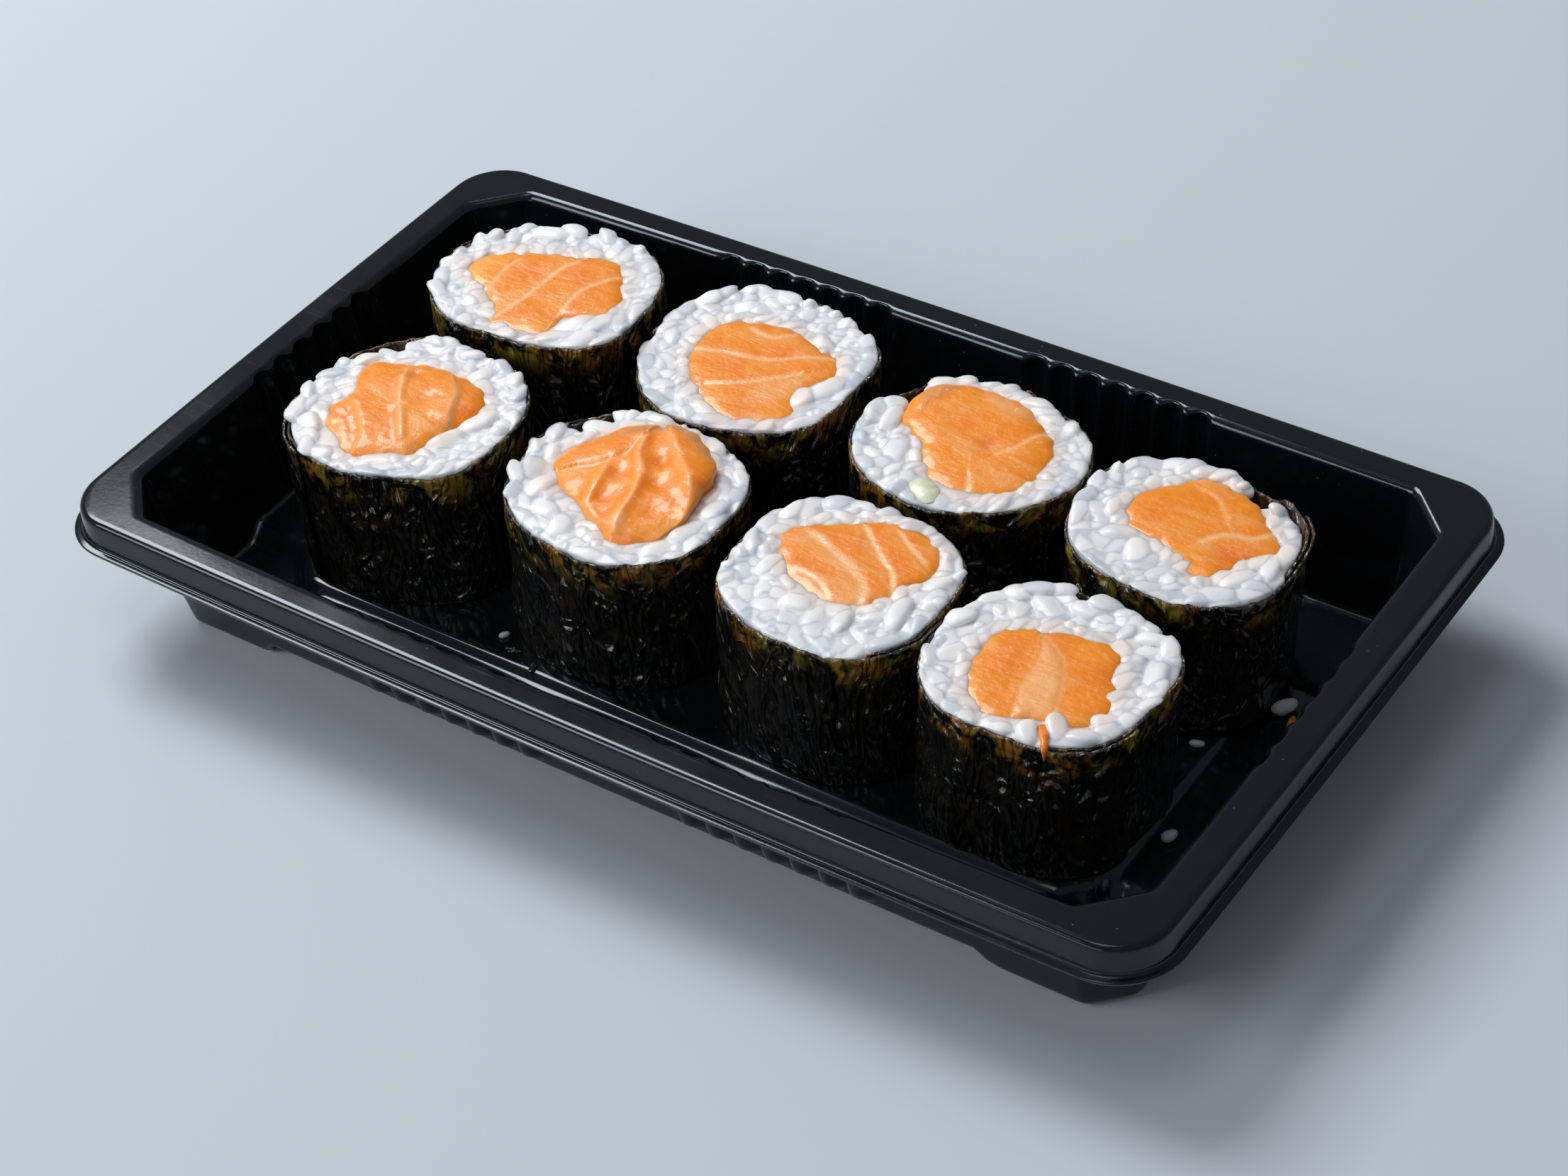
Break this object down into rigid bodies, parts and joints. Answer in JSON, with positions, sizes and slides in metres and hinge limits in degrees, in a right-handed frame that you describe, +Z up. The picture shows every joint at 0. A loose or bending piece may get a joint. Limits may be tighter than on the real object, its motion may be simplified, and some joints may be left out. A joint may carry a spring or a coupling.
{
  "type": "takeaway sushi tray",
  "caption": "Shallow black takeaway tray with fluted walls, a flat rim and corner feet, holding salmon and rice rolls wrapped in seaweed, cut ends up.",
  "frame": {"origin": "middle of the tray in plan, on the surface that its feet stand on", "axes": "+X along the tray's long side, +Y from its front long side to its back one, +Z up"},
  "size_m": [0.1642, 0.0944, 0.0277],
  "materials": {
    "tray_plastic": "thermoformed black sheet, satin gloss",
    "nori": "damp dried seaweed, wrinkled, dark green to black with olive and gold-brown patches",
    "rice": "moist cooked short grain rice, white, slightly translucent",
    "salmon": "raw salmon, moist, orange with pale bands",
    "pale_green": "moist pale green vegetable sliver"
  },
  "bodies": {
    "root": {"tray": "tray_plastic", "roll_1_nori": "nori", "roll_1_rice": "rice", "roll_1_salmon": "salmon", "roll_2_nori": "nori", "roll_2_rice": "rice", "roll_2_salmon": "salmon", "roll_3_nori": "nori", "roll_3_rice": "rice", "roll_3_salmon": "salmon", "roll_4_nori": "nori", "roll_4_rice": "rice", "roll_4_salmon": "salmon", "roll_5_nori": "nori", "roll_5_rice": "rice", "roll_5_salmon": "salmon", "roll_6_nori": "nori", "roll_6_rice": "rice", "roll_6_salmon": "salmon", "roll_7_nori": "nori", "roll_7_rice": "rice", "roll_7_salmon": "salmon", "roll_8_nori": "nori", "roll_8_rice": "rice", "roll_8_salmon": "salmon", "roll_5_green_sliver": "pale_green"}
  },
  "joints": []
}
